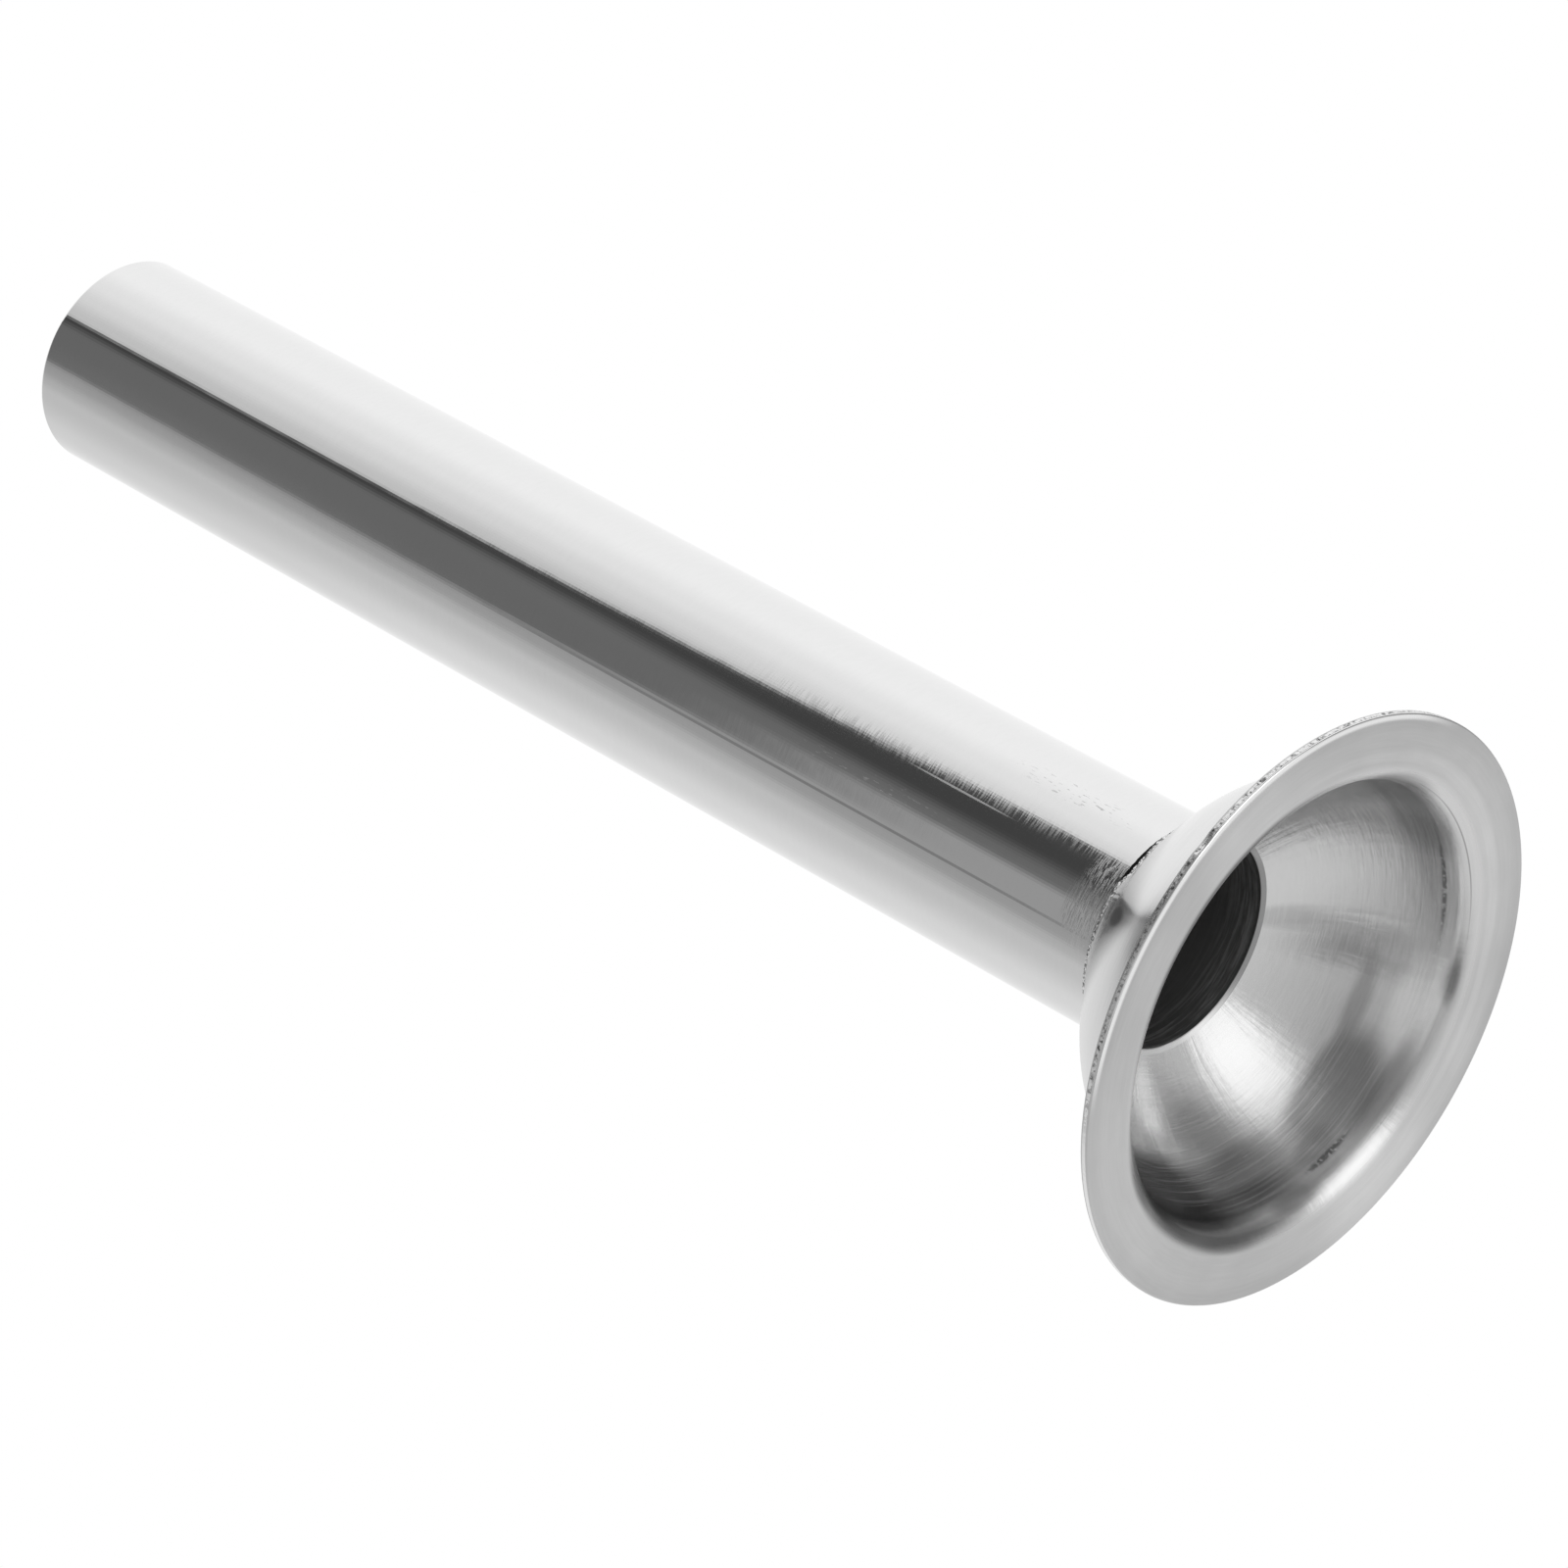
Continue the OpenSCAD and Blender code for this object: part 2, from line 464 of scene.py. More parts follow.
def turned_group():
    """Shader group with a point's place in a turned part: round the axis, out from it and along it."""
    group = bpy.data.node_groups.get("turned_place")
    if group:
        return group
    group, _, sink = new_group("turned_place", "ShaderNodeTree", (
        ("Round", "OUTPUT", "Vector", None),
        ("Along", "OUTPUT", "Float", None),
        ("Radius", "OUTPUT", "Float", None),
        ("Height", "OUTPUT", "Float", None),
        ("Angle", "OUTPUT", "Float", None)))
    place = add_node(group, "ShaderNodeTexCoord").outputs["Object"]
    split = add_node(group, "ShaderNodeSeparateXYZ", {0: place})
    flat = add_node(group, "ShaderNodeCombineXYZ", {
        "X": split.outputs["X"], "Y": split.outputs["Y"]}).outputs[0]
    radius = add_node(group, "ShaderNodeVectorMath", {0: flat}, operation="LENGTH").outputs["Value"]
    heading = add_node(group, "ShaderNodeVectorMath", {0: flat}, operation="NORMALIZE").outputs[0]
    along = math_node(group, "SUBTRACT", radius, split.outputs["Z"])
    front = times(group, split.outputs["Y"], -1.0)
    angle = math_node(group, "DEGREES", math_node(group, "ARCTAN2", split.outputs["X"], front))
    link(group, heading, sink.inputs["Round"])
    link(group, along, sink.inputs["Along"])
    link(group, radius, sink.inputs["Radius"])
    link(group, split.outputs["Z"], sink.inputs["Height"])
    link(group, angle, sink.inputs["Angle"])
    return group


def brushing_group():
    """Shader group with brush marks that run round the axis."""
    group = bpy.data.node_groups.get("round_brushing")
    if group:
        return group
    group, source, sink = new_group("round_brushing", "ShaderNodeTree", (
        ("Marks per Metre", "INPUT", "Float", 3000.0),
        ("Run", "INPUT", "Float", 3.0),
        ("Detail", "INPUT", "Float", 3.0),
        ("Seed", "INPUT", "Float", 0.0),
        ("Marks", "OUTPUT", "Float", None)))
    place = place_group(group, turned_group())
    across = math_node(group, "MULTIPLY_ADD", place.outputs["Along"], source.outputs["Marks per Metre"],
                       source.outputs["Seed"])
    swept = add_node(group, "ShaderNodeVectorMath", {
        0: place.outputs["Round"], "Scale": source.outputs["Run"]}, operation="SCALE").outputs[0]
    lift = add_node(group, "ShaderNodeCombineXYZ", {"Z": across}).outputs[0]
    vector = add_node(group, "ShaderNodeVectorMath", {0: swept, 1: lift}, operation="ADD").outputs[0]
    marks = grain_noise(group, vector, scale=1.0, detail=source.outputs["Detail"], roughness=0.6)
    link(group, marks, sink.inputs["Marks"])
    return group


def new_material(name):
    """Makes a metal material with a Principled BSDF and returns the material, its tree and the shader."""
    material = bpy.data.materials.new(name)
    material.use_nodes = True
    tree = material.node_tree
    tree.nodes.clear()
    shader = add_node(tree, "ShaderNodeBsdfPrincipled", {"Metallic": 1.0})
    output = add_node(tree, "ShaderNodeOutputMaterial")
    link(tree, shader.outputs[0], output.inputs["Surface"])
    return material, tree, shader


def brush_direction(tree, shader, anisotropy):
    """Spreads the highlights across brush marks that run round the axis."""
    tangent = add_node(tree, "ShaderNodeTangent", direction_type="RADIAL", axis="Z")
    shader.inputs["Anisotropic"].default_value = anisotropy
    shader.inputs["Anisotropic Rotation"].default_value = 0.25
    link(tree, tangent.outputs[0], shader.inputs["Tangent"])


def shade(colour, factor):
    """A colour made lighter or darker, with full alpha."""
    return (*[channel * factor for channel in colour], 1.0)


def brush_marks(tree, per_metre, run, detail=3.0, seed=0.0):
    """Places the brush marks in a material and returns them."""
    return place_group(tree, brushing_group(), {
        "Marks per Metre": per_metre, "Run": run, "Detail": detail, "Seed": seed}).outputs["Marks"]


def patch(tree, place, along, angle, centre, half_angle, half_size, softness=0.5):
    """Mask of a patch of a turned part, with angles in degrees and height or radius in millimetres."""
    return place_group(tree, soft_patch_group(), {
        "Angle": place.outputs["Angle"], "Height": place.outputs[along],
        "Centre Angle": angle, "Centre Height": centre * MM,
        "Half Angle": half_angle, "Half Height": half_size * MM, "Softness": softness}).outputs["Mask"]


def own_value(tree, name):
    """A value that the piece keeps at its points."""
    return add_node(tree, "ShaderNodeAttribute", attribute_name=name).outputs["Fac"]


def set_roughness(tree, shader, rough, levels):
    """Lays the roughness of each mask over the ones before it."""
    for mask, level in levels:
        rough = blend_values(tree, mask, rough, level)
    link(tree, rough, shader.inputs["Roughness"])


def set_bumps(tree, shader, bumps):
    """Lays bumps on top of each other, each with its map and its height in metres."""
    below = {}
    for height, distance in bumps:
        given = {"Strength": 1.0, "Distance": distance, "Height": height, **below}
        below = {"Normal": add_node(tree, "ShaderNodeBump", given).outputs[0]}
    link(tree, below["Normal"], shader.inputs["Normal"])


# Patches of the tube: angle, height and half sizes in degrees and millimetres.
TUBE_PATCHES = {
    "pitted": (40.0, 26.0, 6.0, 6.0),
    "knocked": (-4.0, 44.0, 5.0, 9.0),
    "scratch": (12.6, 35.5, 0.45, 5.0),
    "ground": (-5.0, 17.8, 22.0, 2.2),
    "shaded_far_end": (-68.0, 145.0, 26.0, 35.0),
    "darker_foot_band": (150.0, 14.7, 52.0, 1.0),
    "combed": (20.0, 36.0, 7.0, 26.0),
    "hazed": (-22.0, 150.0, 13.0, 50.0),
}


def polished_steel(colour):
    """Polished tube: bright outside with fine marks round it, dull in the bore, which has painted shade and,
    near its mouth, streaks of painted light.
    """
    material, tree, shader = new_material("polished_steel")
    place = place_group(tree, turned_group())
    radius, height = place.outputs["Radius"], place.outputs["Height"]
    spot = {name: patch(tree, place, "Height", *where) for name, where in TUBE_PATCHES.items()}
    marks = brush_marks(tree, per_metre=2300.0, run=6.0)
    comb = brush_marks(tree, per_metre=4600.0, run=3.0, detail=1.0, seed=2.0)
    ripple = brush_marks(tree, per_metre=130.0, run=4.0, detail=2.0, seed=7.0)
    dashes = brush_marks(tree, per_metre=1000.0, run=62.0, detail=1.0, seed=3.0)
    grinding = brush_marks(tree, per_metre=6500.0, run=8.0)
    streaks = brush_marks(tree, per_metre=3200.0, run=2.0, seed=11.0)

    inside = smooth_range(tree, radius, BORE_RADIUS + 0.14 * MM, BORE_RADIUS + 0.06 * MM)
    foot = smooth_range(tree, height, 15.1 * MM, 14.9 * MM)
    darker_foot_band = times(tree, foot, spot["darker_foot_band"])
    pits = times(tree, spot["pitted"], smooth_range(tree, dashes, 0.62, 0.70))
    knocks = times(tree, spot["knocked"], smooth_range(tree, dashes, 0.64, 0.72))
    knocks = math_node(tree, "MAXIMUM", knocks, spot["scratch"])
    strokes = times(tree, spot["ground"], smooth_range(tree, grinding, 0.46, 0.62))
    teeth = times(tree, spot["combed"], smooth_range(tree, comb, 0.42, 0.62))

    outside = blend_colours(tree, marks, shade(colour, 0.98), shade(colour, 1.02))
    outside = blend_colours(tree, pits, outside, shade(colour, 0.7))
    # A stretch near the far end is darkened with painted shade.
    outside = blend_colours(tree, spot["shaded_far_end"], outside, shade(colour, 0.92))
    # The bore is darkened with painted shade, and streaks of painted light lie near its mouth.
    mouth = smooth_range(tree, height, 20 * MM, 14.7 * MM)
    lit = times(tree, smooth_range(tree, streaks, 0.38, 0.70), blend_values(tree, mouth, 0.08, 1.0))
    bore = blend_colours(tree, lit, shade(colour, 0.48), shade(colour, 1.15))
    metal = blend_colours(tree, inside, outside, bore)
    # A band on one side of the tube's foot is painted darker grey.
    link(tree, blend_colours(tree, darker_foot_band, metal, shade(colour, 0.40)), shader.inputs["Base Color"])

    marred = math_node(tree, "MAXIMUM", pits, knocks)
    set_roughness(tree, shader, blend_values(tree, marks, 0.04, 0.06), (
        (teeth, 0.14), (spot["hazed"], 0.15), (marred, 0.36), (strokes, 0.28), (foot, 0.27), (inside, 0.40)))
    brush_direction(tree, shader, anisotropy=0.4)
    pressed = math_node(tree, "ADD", strokes, pits)
    set_bumps(tree, shader, (
        (times(tree, comb, spot["combed"]), 1.6e-6), (marks, 8.0e-7), (ripple, 1.0e-5), (pressed, 6.0e-6)))
    return material


# Darker and lighter stretches of the cup, set one by one: uneven polish, and painted reflections and painted
# shade that the plain studio doesn't give. Each has its angle, radius and half sizes in degrees and
# millimetres, its softness, and the factor on the colour. The first are in the bowl's wall.
WALL_POLISH_AND_PAINTED_REFLECTION = (
    (-95, 19.4, 23, 1.95, 0.40, 0.14),
    (-124, 17.2, 13, 3.0, 0.50, 0.68),
    (-130, 19.3, 13, 1.2, 0.50, 0.60),
    (-118, 20.3, 23, 0.5, 0.50, 0.42),
    (-165.5, 19.3, 17, 1.4, 0.30, 0.50),
    (-150, 20.2, 6, 0.5, 0.50, 0.70),
    (-105, 17.0, 6, 1.0, 0.50, 0.78),
    (171, 18.4, 12, 0.5, 0.50, 0.66),
    (167, 20.3, 12, 0.6, 0.50, 1.27),
    (151, 18.9, 6, 1.9, 0.50, 1.29),
    (149, 12.0, 5, 3.5, 0.50, 0.78),
    (91, 17.0, 10, 4.5, 0.50, 0.72),
    (100, 20.1, 30, 0.8, 0.45, 0.68),
    (-105, 14.0, 7, 2.4, 0.50, 1.22),
)
# On the bend and the flange
BEND_POLISH_AND_PAINTED_REFLECTION = (
    (-68, 21.7, 22, 0.9, 0.50, 0.40),
    (-108, 22.1, 10, 0.5, 0.50, 0.75),
    (-103, 21.5, 25, 1.0, 0.50, 0.50),
    (-95, 20.75, 22, 0.25, 0.50, 0.55),
    (80, 21.2, 12, 0.9, 0.50, 0.62),
    (10, 22.0, 36, 0.7, 0.50, 0.30),
    (-172, 20.7, 14, 0.3, 0.50, 0.68),
    (-74, 20.8, 12, 0.8, 0.50, 0.30),
    (-62, 22.1, 8, 0.6, 0.50, 0.70),
    (-135, 21.0, 7, 0.4, 0.50, 0.62),
    (135, 20.85, 42, 0.2, 0.40, 1.31),
    (-115, 21.1, 26, 0.25, 0.40, 1.31),
    (157, 21.2, 5, 0.35, 0.50, 0.70),
    (22, 25.0, 16, 3.0, 0.60, 0.88),
    (115, 23.6, 65, 0.7, 0.50, 1.12),
    (178, 25.0, 20, 2.0, 0.50, 1.09),
    (115, 21.46, 25, 0.05, 0.50, 0.62),
)
# On the cup's back
BACK_POLISH_AND_PAINTED_REFLECTION = (
    (-2.5, 16.9, 3, 1.3, 0.30, 0.38),
    (-6, 26.3, 4, 1.2, 0.50, 0.45),
)
# Thin dark lines between the wall and the bend
THIN_MARKS = (
    (131, 20.56, 14, 0.06, 0.50, 0.45),
    (-151, 20.6, 7, 0.08, 0.50, 0.35),
)


def polish_and_reflection_tone(tree, place, marks, share=None):
    """Factor on the colour from a table of polish marks and painted reflections, each weakened by a share if
    one is given.
    """
    tone = 1.0
    for *where, factor in marks:
        mask = patch(tree, place, "Radius", *where)
        if share is not None:
            mask = times(tree, mask, share)
        tone = times(tree, tone, math_node(tree, "MULTIPLY_ADD", mask, factor - 1.0, 1.0))
    return tone


# Patches of the cup: angle, radius and half sizes in degrees and millimetres, and softness.
CUP_PATCHES = {
    "arris_highlight_side": (25.0, 27.4, 55.0, 4.0, 0.15),
    "smooth_edge": (-88.0, 27.5, 54.0, 4.0, 0.20),
    "calm": (-95.0, 19.4, 34.0, 2.6, 0.50),
}


def brushed_steel(colour):
    """Brushed cup: satin flange, brush marks round the bowl, a polished back and a torn cut edge, with
    painted reflections and shade.
    """
    material, tree, shader = new_material("brushed_steel")
    place = place_group(tree, turned_group())
    radius = place.outputs["Radius"]
    spot = {name: patch(tree, place, "Radius", *where) for name, where in CUP_PATCHES.items()}
    marks = brush_marks(tree, per_metre=3600.0, run=5.0, detail=4.0)
    waves = brush_marks(tree, per_metre=520.0, run=3.5, seed=5.0)
    fans = brush_marks(tree, per_metre=70.0, run=13.0, seed=9.0)
    scratches = brush_marks(tree, per_metre=4200.0, run=2.0, detail=4.0, seed=21.0)
    grain = add_node(tree, "ShaderNodeTexCoord").outputs["Object"]
    tears = grain_noise(tree, grain, scale=2800.0, detail=3.0, roughness=0.6)
    worn = grain_noise(tree, grain, scale=160.0, detail=2.0)
    clouds = grain_noise(tree, grain, scale=230.0, detail=4.0)

    tearing = own_value(tree, "torn")
    torn = smooth_range(tree, tearing, 0.5, 0.95)
    highlit_arris = times(tree, smooth_range(tree, tearing, 0.05, 0.15), smooth_range(tree, tearing, 0.5, 0.3))
    highlit_arris = times(tree, highlit_arris, spot["arris_highlight_side"])
    back = own_value(tree, "back")
    flange = smooth_range(tree, radius, 21.8 * MM, 23.2 * MM)
    bowl = times(tree, one_minus(tree, back), one_minus(tree, flange))
    tear_dark = blend_values(tree, worn, 0.10, 0.50)
    tear_light = blend_values(tree, worn, 0.52, 0.64)
    tear_shade = smooth_range(tree, tears, tear_dark, tear_light)
    tear_shade = math_node(tree, "MAXIMUM", tear_shade, spot["smooth_edge"])

    # The wall's polish and painted reflections stop at a line where the bend begins, and the tears' noise
    # breaks up the thin marks.
    wall = smooth_range(tree, radius, 20.85 * MM, 20.6 * MM)
    scratched = blend_values(tree, smooth_range(tree, scratches, 0.5, 0.66), 1.0, 0.7)
    broken = smooth_range(tree, tears, 0.40, 0.52)
    # These tone tables lay painted reflections and painted shade over the cup's uneven polish.
    tone = polish_and_reflection_tone(tree, place, WALL_POLISH_AND_PAINTED_REFLECTION, times(tree, wall, scratched))
    tone = times(tree, tone, polish_and_reflection_tone(tree, place, BEND_POLISH_AND_PAINTED_REFLECTION))
    tone = times(tree, tone, polish_and_reflection_tone(tree, place, THIN_MARKS, broken))
    outer = smooth_range(tree, radius, 25.4 * MM, 26.8 * MM)
    satin = math_node(tree, "MULTIPLY_ADD", clouds, 0.12, 0.88)
    satin = times(tree, satin, one_minus(tree, times(tree, 0.07, outer)))
    tone = times(tree, tone, blend_values(tree, flange, 1.0, satin))
    tone = blend_values(tree, back, tone, polish_and_reflection_tone(tree, place, BACK_POLISH_AND_PAINTED_REFLECTION))

    face = blend_colours(tree, marks, shade(colour, 0.93), shade(colour, 1.07))
    face = add_node(tree, "ShaderNodeMix", {0: 1.0, 6: face, 7: tone},
                    data_type="RGBA", blend_type="MULTIPLY").outputs[2]
    # The front arris along one side is painted near white: a painted highlight.
    face = blend_colours(tree, highlit_arris, face, shade(colour, 1.3))
    edge = blend_colours(tree, tear_shade, shade(colour, 0.15), shade(colour, 1.28))
    link(tree, blend_colours(tree, torn, face, edge), shader.inputs["Base Color"])

    polished = math_node(tree, "MAXIMUM", back, highlit_arris)
    set_roughness(tree, shader, blend_values(tree, marks, 0.20, 0.30), (
        (flange, 0.34), (polished, 0.14), (torn, 0.24)))
    brush_direction(tree, shader, anisotropy=1.0)

    depth = blend_values(tree, bowl, 0.25, 1.0)
    waves = times(tree, waves, math_node(tree, "MULTIPLY_ADD", spot["calm"], -0.7, 1.0))
    rough_edge = times(tree, torn, one_minus(tree, spot["smooth_edge"]))
    set_bumps(tree, shader, (
        (times(tree, marks, depth), 1.1e-5),
        (times(tree, waves, bowl), 4.5e-5),
        (times(tree, fans, bowl), 2.8e-5),
        (times(tree, tears, rough_edge), 2.5e-5)))
    return material


def weld_steel(colour):
    """Weld metal: a ground cone that mirrors the tube, a torn lip, and a crack beside it painted near black
    as painted shade.
    """
    material, tree, shader = new_material("weld_steel")
    torn = own_value(tree, "torn")
    crack = smooth_range(tree, own_value(tree, "crack"), 0.3, 0.7)
    marks = brush_marks(tree, per_metre=5200.0, run=10.0)
    grain = add_node(tree, "ShaderNodeTexCoord").outputs["Object"]
    tears = grain_noise(tree, grain, scale=3000.0, detail=3.0, roughness=0.6)
    tear_shade = smooth_range(tree, tears, 0.42, 0.58)
    ground = blend_colours(tree, marks, shade(colour, 0.85), shade(colour, 1.0))
    lip = blend_colours(tree, tear_shade, shade(colour, 0.2), shade(colour, 1.6))
    metal = blend_colours(tree, torn, ground, lip)
    # The crack's near-black colour is painted shade in the gap.
    link(tree, blend_colours(tree, crack, metal, shade(colour, 0.03)), shader.inputs["Base Color"])
    set_roughness(tree, shader, blend_values(tree, marks, 0.12, 0.2), ((torn, 0.32), (crack, 0.6)))
    set_bumps(tree, shader, ((marks, 5.0e-6), (times(tree, tears, torn), 6.0e-5)))
    return material


def dress(piece, slot, *nodes):
    """Ties a finished piece to the frame: its body and the CAD nodes that it stands for. The slot is not
    used.
    """
    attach(piece, "root")
    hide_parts(*nodes)


class STUFFING_OT_tube(bpy.types.Operator):
    """Make the polished tube"""

    bl_idname = "stuffing.tube"
    bl_label = "Polished Tube"

    def execute(self, context):
        tube = context.scene.stuffing_tube
        cup = context.scene.stuffing_cup
        material = polished_steel(tube.colour)
        piece = revolve("polished_tube", tube_profile(tube, cup), material, segments=tube.segments)
        dress(piece, "polished_steel", "tube")
        return {"FINISHED"}


class STUFFING_OT_cup(bpy.types.Operator):
    """Make the pressed cup with its flange"""

    bl_idname = "stuffing.cup"
    bl_label = "Flanged Cup"

    def execute(self, context):
        tube = context.scene.stuffing_tube
        cup = context.scene.stuffing_cup
        material = brushed_steel(cup.colour)
        nick_angle = math.radians(NICK_ANGLE - 90)
        piece = revolve("pressed_cup", cup_profile(cup, tube), material, segments=cup.segments,
                        burr=cup.edge_burr, nick_angle=nick_angle, nick_depth=cup.nick_depth)
        dress(piece, "brushed_steel", "flanged_cup")
        return {"FINISHED"}


def fade(value, low, high):
    """Smooth step from 0 at low to 1 at high."""
    t = min(max((value - low) / (high - low), 0.0), 1.0)
    return t * t * (3 - 2 * t)


# Where the weld has cracked away from the tube, in degrees from -Y towards +X, and the least gap that shows
CRACK_START, CRACK_WIDE, CRACK_CLOSING, CRACK_END = 10.0, 17.0, 23.0, 46.0
LEAST_GAP = 0.02 * MM
# Grain of the weld's lumps, grit and jags, and the share of them that its top and its lip take
LUMP_GRAIN, GRIT_GRAIN, JAG_GRAIN = 30.0, 160.0, 220.0
TOP_LUMP, LIP_JAG, LIP_GRIT = 0.5, 0.8, 0.4
# Width of the lip, and its points: their share of the width and how far they stand proud
LIP = 0.48 * MM
LIP_POINTS = ((0.12, 0.05 * MM), (0.5, 0.06 * MM), (0.9, 0.02 * MM))
# Steps down the ground cone, and how far it is ground hollow
CONE_STEPS = 6
CONE_HOLLOW = 0.03 * MM
# How far the weld is sunk into the wall, below its heel and below its top
WALL_SINK, HEEL_SINK, TOP_SINK = 0.06 * MM, 0.3 * MM, 0.05 * MM
# How far its top edge stands off the wall, and half the height of that edge
STAND_OFF, HALF_EDGE = 0.012 * MM, 0.02 * MM
# How far its toe is drawn in and sunk into the cup
TOE_INSET, TOE_SINK = 0.02 * MM, 0.12 * MM
# Edges of the weld that turn by more than this, in degrees, are shaded sharp
SHARP_DEGREES = 40


def weld_sections(weld, tube, cup):
    """Closed sections of the weld, one for each step round the tube, as points with their crack and torn."""
    section = CupSection(cup, tube.bore_radius)
    back = cup.bowl_radius + cup.sheet
    heel = section.bowl_height(back, tube.outer_radius)
    wall = tube.outer_radius
    rings = []
    for i in range(weld.segments):
        degrees = 360 * i / weld.segments - 180
        turn = math.radians(degrees)
        heading = Vector((math.sin(turn), -math.cos(turn), 0.0))
        lump = noise.noise(heading * LUMP_GRAIN) * weld.unevenness
        grit = noise.noise(heading * GRIT_GRAIN + Vector((0, 0, 3))) * weld.unevenness
        open_gap = fade(degrees, CRACK_START, CRACK_WIDE) * fade(degrees, CRACK_END, CRACK_CLOSING)
        gap = weld.gap * open_gap
        top = heel + weld.leg + lump * TOP_LUMP
        toe = wall + weld.leg + lump
        slope = Vector((toe - wall, section.bowl_height(back, toe) - top))
        down = slope.normalized()
        out = Vector((-down.y, down.x))
        cracked = 1.0 if gap > LEAST_GAP else 0.0
        ring = [
            (wall - WALL_SINK, heel - HEEL_SINK, 0.0, 0.0),
            (wall - WALL_SINK, top - TOP_SINK, 0.0, 0.0),
            (wall + STAND_OFF, top + HALF_EDGE, cracked, 1.0 - cracked),
            (wall + STAND_OFF, top - HALF_EDGE - gap, cracked, 1.0 - cracked),
        ]
        base = Vector((wall, top - gap))
        for share, proud in LIP_POINTS:
            jag = noise.noise(heading * JAG_GRAIN + Vector((0, 0, 9 * share))) * weld.unevenness
            spot = base + down * (LIP * share) + out * (proud + jag * LIP_JAG + grit * LIP_GRIT)
            ring.append((spot.x, spot.y, 0.0, 1.0))
        start = base + down * LIP
        end = Vector((toe, section.bowl_height(back, toe)))
        for step in range(1, CONE_STEPS + 1):
            t = step / CONE_STEPS
            spot = start.lerp(end, t) - out * (CONE_HOLLOW * math.sin(math.pi * t))
            ring.append((spot.x, spot.y, 0.0, 0.0))
        ring.append((toe - TOE_INSET, end.y - TOE_SINK, 0.0, 0.0))
        rings.append([(heading.x * r, heading.y * r, z, crack, torn) for r, z, crack, torn in ring])
    return rings


class STUFFING_OT_weld(bpy.types.Operator):
    """Make the weld between tube and cup"""

    bl_idname = "stuffing.weld"
    bl_label = "Weld Bead"

    def execute(self, context):
        scene = context.scene
        rings = weld_sections(scene.stuffing_weld, scene.stuffing_tube, scene.stuffing_cup)
        count, size = len(rings), len(rings[0])
        faces = []
        for i in range(count):
            for j in range(size):
                k, m = (i + 1) % count, (j + 1) % size
                faces.append((i * size + j, k * size + j, k * size + m, i * size + m))
        points = [point for ring in rings for point in ring]
        mesh = bpy.data.meshes.new("weld_ring")
        mesh.from_pydata([point[:3] for point in points], [], faces)
        for label, column in (("crack", 3), ("torn", 4)):
            values = mesh.attributes.new(label, "FLOAT", "POINT")
            values.data.foreach_set("value", [point[column] for point in points])
        mesh.shade_smooth()
        face_outwards(mesh)
        mesh.set_sharp_from_angle(angle=math.radians(SHARP_DEGREES))
        mesh.materials.append(weld_steel(scene.stuffing_weld.colour))
        piece = bpy.data.objects.new("weld_ring", mesh)
        scene.collection.objects.link(piece)
        dress(piece, "weld_steel", "weld_bead")
        return {"FINISHED"}


WHITE = (1.0, 1.0, 1.0)


def ramp(tree, value, stops):
    """Maps degrees from -180 to 180 to grey levels through a colour ramp."""
    share = math_node(tree, "MULTIPLY_ADD", value, 1 / 360, 0.5)
    node = add_node(tree, "ShaderNodeValToRGB", {"Fac": share})
    node.color_ramp.interpolation = "EASE"
    points = node.color_ramp.elements
    while len(points) < len(stops):
        points.new(0.5)
    for point, (degrees, level) in zip(points, sorted(stops)):
        point.position = degrees / 360 + 0.5
        point.color = shade(WHITE, level)
    return node.outputs["Color"]


# Light of the studio in degrees round the part, azimuth 0 towards -Y and growing towards +X, with its level.
DIM_SIDE = (
    (-180, 0.92), (-120, 0.80), (-74, 0.62), (-60, 0.50), (-50, 0.38), (-40, 0.36), (-14, 0.36), (2, 0.20),
    (14, 0.10), (40, 0.09), (180, 0.09))
BRIGHT_SIDE = (
    (-180, 1.00), (0, 0.64), (20, 0.64), (40, 0.80), (60, 0.92), (90, 1.04), (125, 1.02), (150, 1.02),
    (180, 1.12))
BELOW = (
    (-180, 0.78), (-140, 0.80), (-100, 0.74), (-72, 0.60), (-30, 0.58), (10, 0.60), (60, 0.66), (130, 0.62),
    (180, 0.78))
# Elevations over which the light from below gives way to the dim side, and the bright side sets in
DIM_RISE = (-6.0, 24.0)
BRIGHT_RISE = (0.0, 20.0)

# The dim side's edge slants down from one azimuth to the other between two elevations. A darker strip runs
# along it.
EDGE_TOP, EDGE_BOTTOM = 40.9, 34.6
EDGE_START, EDGE_END = 14.0, 39.5
EDGE_CURVE = 1.5
EDGE_BLUR = 2.5
STRIP_RISE = (-14.0, -3.0)
STRIP_LEVEL = 0.06

# Soft cards: azimuth, elevation, half width, half height, softness, squareness and level.
CARDS = (
    (-15, 58, 25, 21.5, 0.07, 8.0, 0.155),
    (2, 36, 16, 4, 0.35, 3.0, 0.16),
    (17, 36, 15, 4.5, 0.6, 2.0, 0.06),
    (-41.5, 37, 1.6, 3.5, 0.5, 2.0, 0.22),
    (82, -13, 76, 16, 0.3, 4.0, 0.24),
    (9, -26, 20, 15, 0.5, 2.0, 0.22),
    (124, -24, 36, 13, 0.5, 2.0, 0.22),
    (-51, -36, 15, 24, 0.6, 2.0, 0.16),
    (-12, -33, 20, 11, 0.6, 2.0, 0.33),
    (58, -42, 19, 14, 0.5, 2.0, 1.20),
    (68, -54, 32, 13, 0.45, 2.0, 1.45),
    (98, -67, 60, 12, 0.45, 2.0, 1.40),
)


